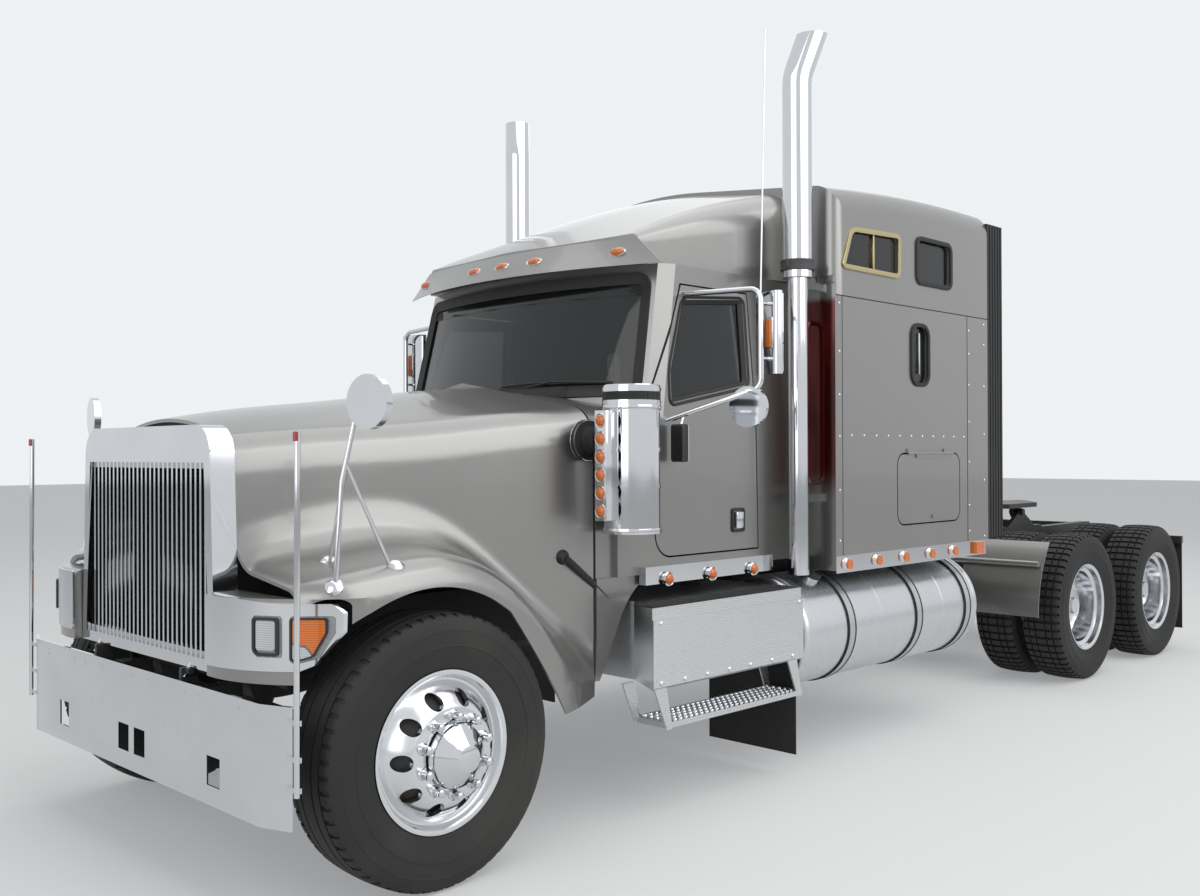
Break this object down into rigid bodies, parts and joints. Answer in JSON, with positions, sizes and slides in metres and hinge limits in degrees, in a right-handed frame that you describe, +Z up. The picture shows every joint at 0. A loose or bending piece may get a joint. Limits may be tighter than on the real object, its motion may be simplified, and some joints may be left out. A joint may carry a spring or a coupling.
{
  "type": "semi truck tractor unit",
  "caption": "Long-nosed highway tractor with sleeper, chromed grille and bumper, upright stacks, tandem drive axles and a fifth wheel; it rolls, steers and opens.",
  "frame": {"origin": "ground level under the middle of the overall length and width", "axes": "+Z up, +Y from the nose to the tail, +X to the truck's own left"},
  "size_m": [2.856, 8.21, 3.7118],
  "materials": {
    "paint_main": "metallic gloss",
    "chrome": "polished",
    "polished_aluminium": "polished",
    "frame_black": "satin",
    "axle_black": "satin",
    "engine_grey": "satin",
    "tyre_rubber": "matt",
    "seal_rubber": "matt",
    "lamp_lens": "clear",
    "amber_lens": "gloss",
    "red_lens": "gloss",
    "window_glass": "clear",
    "cabin_plastic": "matt",
    "seat_fabric": "matt"
  },
  "bodies": {
    "chassis": {"air_cleaners": "chrome", "bumper": "chrome", "cab_shell": "paint_main", "corner_panels": "polished_aluminium", "dashboard": "cabin_plastic", "drive_axles": "axle_black", "engine_block": "engine_grey", "exhaust_stacks": "chrome", "fifth_wheel_base": "frame_black", "frame_rails": "frame_black", "front_axle": "axle_black", "front_springs": "axle_black", "fuel_tanks": "polished_aluminium", "glazing": "window_glass", "lamp_rails": "polished_aluminium", "marker_lamps": "amber_lens", "mud_flaps": "seal_rubber", "quarter_fenders": "chrome", "radiator": "engine_grey", "rear_edges": "seal_rubber", "rear_suspension": "axle_black", "roof": "paint_main", "seats": "seat_fabric", "sleeper_shell": "paint_main", "step_boxes": "polished_aluminium", "sun_visor": "chrome", "tail_lamps": "red_lens", "tank_straps": "chrome"},
    "hood": {"hood_shell": "paint_main", "grille_frame": "chrome", "grille_bars": "chrome", "headlamp_bezels": "chrome", "headlamp_lenses": "lamp_lens", "hood_mirrors": "chrome"},
    "door_left": {"door_left": "paint_main", "door_pane_left": "window_glass", "mirror_left": "chrome"},
    "door_right": {"door_right": "paint_main", "door_pane_right": "window_glass", "mirror_right": "chrome"},
    "luggage_door_left": {"luggage_door_left": "paint_main"},
    "luggage_door_right": {"luggage_door_right": "paint_main"},
    "knuckle_left": {"knuckle_left": "axle_black"},
    "knuckle_right": {"knuckle_right": "axle_black"},
    "tie_rod": {"tie_rod": "axle_black"},
    "wheel_front_left": {"tyre_front_left": "tyre_rubber", "rim_front_left": "polished_aluminium"},
    "wheel_front_right": {"tyre_front_right": "tyre_rubber", "rim_front_right": "polished_aluminium"},
    "wheels_mid_left": {"tyres_mid_left": "tyre_rubber", "rims_mid_left": "polished_aluminium"},
    "wheels_mid_right": {"tyres_mid_right": "tyre_rubber", "rims_mid_right": "polished_aluminium"},
    "wheels_rear_left": {"tyres_rear_left": "tyre_rubber", "rims_rear_left": "polished_aluminium"},
    "wheels_rear_right": {"tyres_rear_right": "tyre_rubber", "rims_rear_right": "polished_aluminium"},
    "fifth_wheel_plate": {"fifth_wheel_plate": "frame_black"}
  },
  "joints": [
    {"name": "hood_tilt", "type": "hinge", "parent": "chassis", "child": "hood", "pos_m": [0, -4.065, 0.795], "axis": [1, 0, 0], "range_deg": [0, 70]},
    {"name": "door_left_hinge", "type": "hinge", "parent": "chassis", "child": "door_left", "pos_m": [0.965, -2.091, 1.48], "axis": [0, 0, -1], "range_deg": [0, 70]},
    {"name": "door_right_hinge", "type": "hinge", "parent": "chassis", "child": "door_right", "pos_m": [-0.965, -2.091, 1.48], "axis": [0, 0, 1], "range_deg": [0, 70]},
    {"name": "luggage_left_hinge", "type": "hinge", "parent": "chassis", "child": "luggage_door_left", "pos_m": [1.208, -0.0425, 1.587], "axis": [0, -1, 0], "range_deg": [0, 90]},
    {"name": "luggage_right_hinge", "type": "hinge", "parent": "chassis", "child": "luggage_door_right", "pos_m": [-1.208, -0.0425, 1.587], "axis": [0, 1, 0], "range_deg": [0, 90]},
    {"name": "steer_left", "type": "hinge", "parent": "chassis", "child": "knuckle_left", "pos_m": [0.885, -3.44, 0.507], "axis": [0, 0, 1], "range_deg": [-40, 40]},
    {"name": "steer_right", "type": "hinge", "parent": "chassis", "child": "knuckle_right", "pos_m": [-0.885, -3.44, 0.507], "axis": [0, 0, 1], "range_deg": [-40, 40]},
    {"name": "tie_rod_ball", "type": "hinge", "parent": "knuckle_left", "child": "tie_rod", "pos_m": [0.865, -3.225, 0.395], "axis": [0, 0, 1], "range_deg": [-41.5, 41.5]},
    {"name": "roll_front_left", "type": "hinge", "parent": "knuckle_left", "child": "wheel_front_left", "pos_m": [1.017, -3.44, 0.507], "axis": [1, 0, 0], "continuous": true},
    {"name": "roll_front_right", "type": "hinge", "parent": "knuckle_right", "child": "wheel_front_right", "pos_m": [-1.017, -3.44, 0.507], "axis": [1, 0, 0], "continuous": true},
    {"name": "roll_mid_left", "type": "hinge", "parent": "chassis", "child": "wheels_mid_left", "pos_m": [0.9045, 2.144, 0.507], "axis": [1, 0, 0], "continuous": true},
    {"name": "roll_mid_right", "type": "hinge", "parent": "chassis", "child": "wheels_mid_right", "pos_m": [-0.9045, 2.144, 0.507], "axis": [1, 0, 0], "continuous": true},
    {"name": "roll_rear_left", "type": "hinge", "parent": "chassis", "child": "wheels_rear_left", "pos_m": [0.9045, 3.464, 0.507], "axis": [1, 0, 0], "continuous": true},
    {"name": "roll_rear_right", "type": "hinge", "parent": "chassis", "child": "wheels_rear_right", "pos_m": [-0.9045, 3.464, 0.507], "axis": [1, 0, 0], "continuous": true},
    {"name": "fifth_wheel_rock", "type": "hinge", "parent": "chassis", "child": "fifth_wheel_plate", "pos_m": [0, 2.8, 1.12], "axis": [1, 0, 0], "range_deg": [-10, 10]}
  ],
  "couplings": [
    {"joint": "steer_right", "follows": "steer_left", "ratio": 1},
    {"joint": "tie_rod_ball", "follows": "steer_left", "ratio": -1.023}
  ]
}
